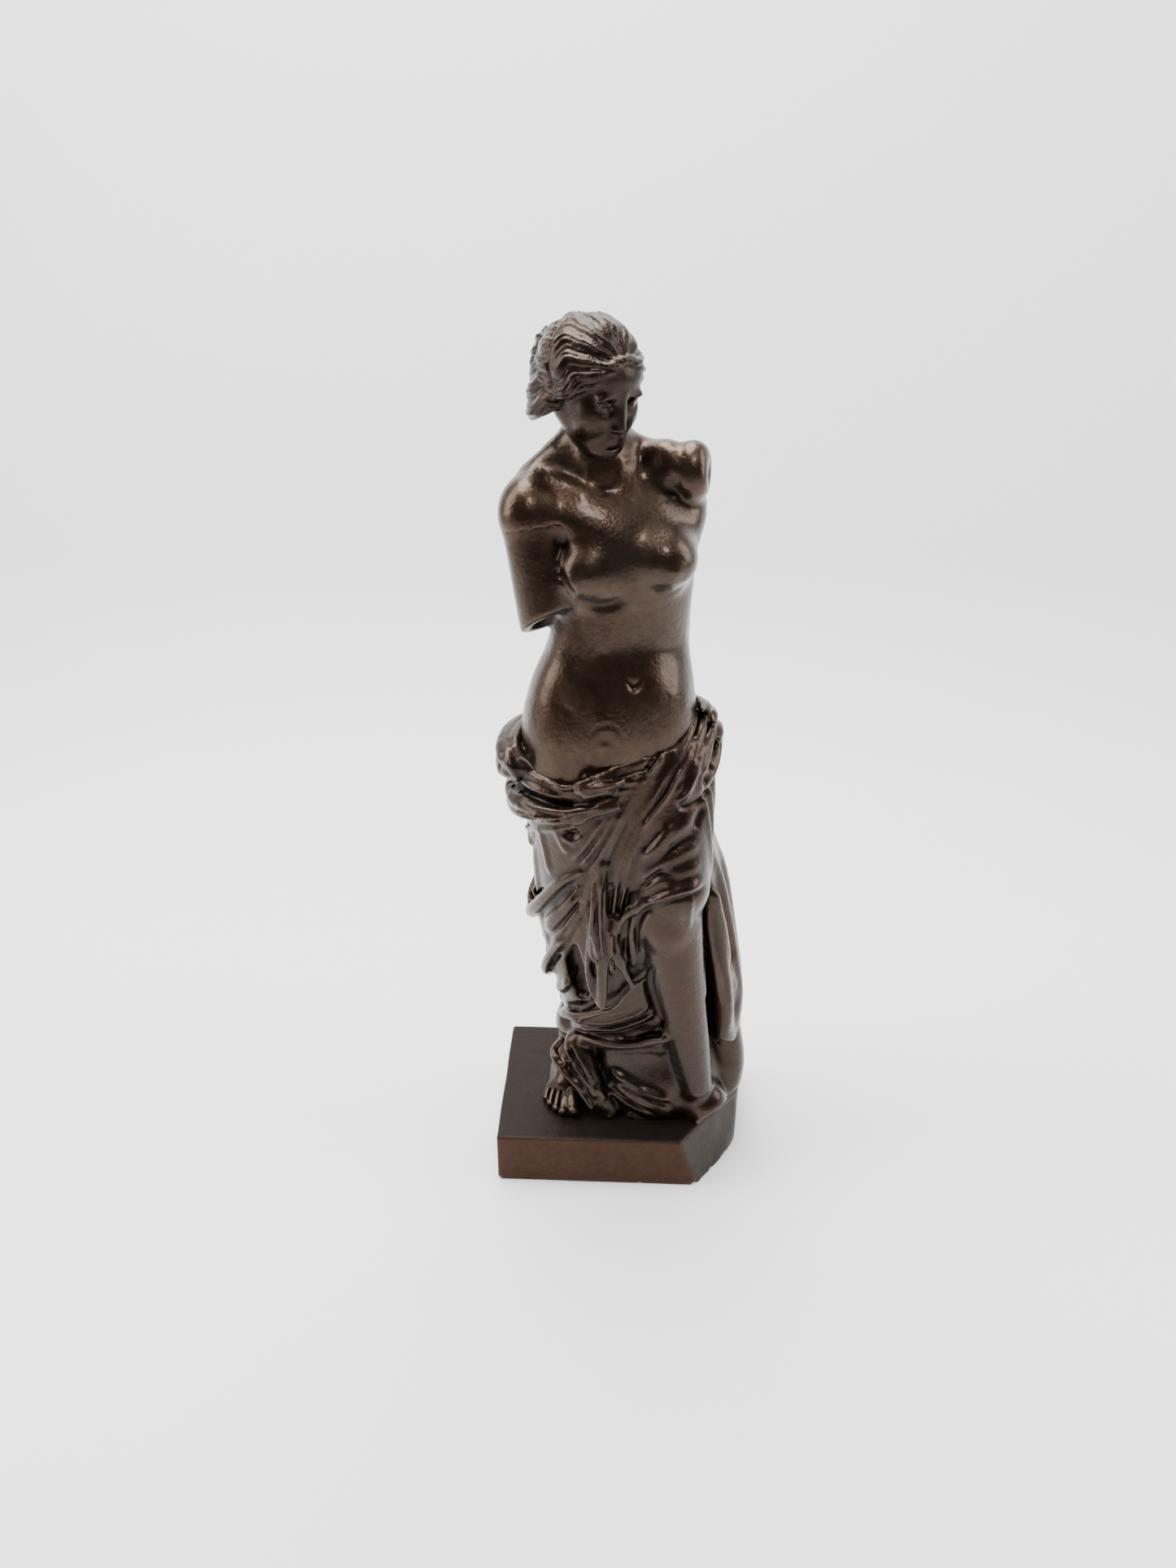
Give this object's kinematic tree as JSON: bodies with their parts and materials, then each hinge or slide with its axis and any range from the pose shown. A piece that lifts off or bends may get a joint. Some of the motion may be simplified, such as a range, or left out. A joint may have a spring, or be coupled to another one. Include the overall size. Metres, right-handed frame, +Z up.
{
  "type": "bronze statuette",
  "caption": "Free-standing bronze statuette of a draped woman without arms on a thin plinth with a sawn front corner.",
  "frame": {"origin": "centre of the plinth's underside", "axes": "+Z up through the figure, -Y to the front, +X to the viewer's right"},
  "size_m": [0.086, 0.059, 0.28],
  "materials": {
    "patinated_bronze": "waxed dark brown patina over cast bronze, rubbed on the high folds",
    "raw_brass": "turned brass, dulled"
  },
  "bodies": {
    "root": {"plinth": "patinated_bronze", "lower_figure": "patinated_bronze", "upper_torso": "patinated_bronze", "head": "patinated_bronze", "right_arm": "patinated_bronze", "drapery_fall": "patinated_bronze", "right_foot": "patinated_bronze", "fixing_studs": "raw_brass", "stud_washers": "raw_brass", "stud_nuts": "raw_brass", "waist_pins": "patinated_bronze", "neck_pins": "patinated_bronze", "arm_pins": "patinated_bronze", "fall_rivets": "patinated_bronze", "foot_dowel": "raw_brass", "core_plugs": "patinated_bronze"}
  },
  "joints": []
}
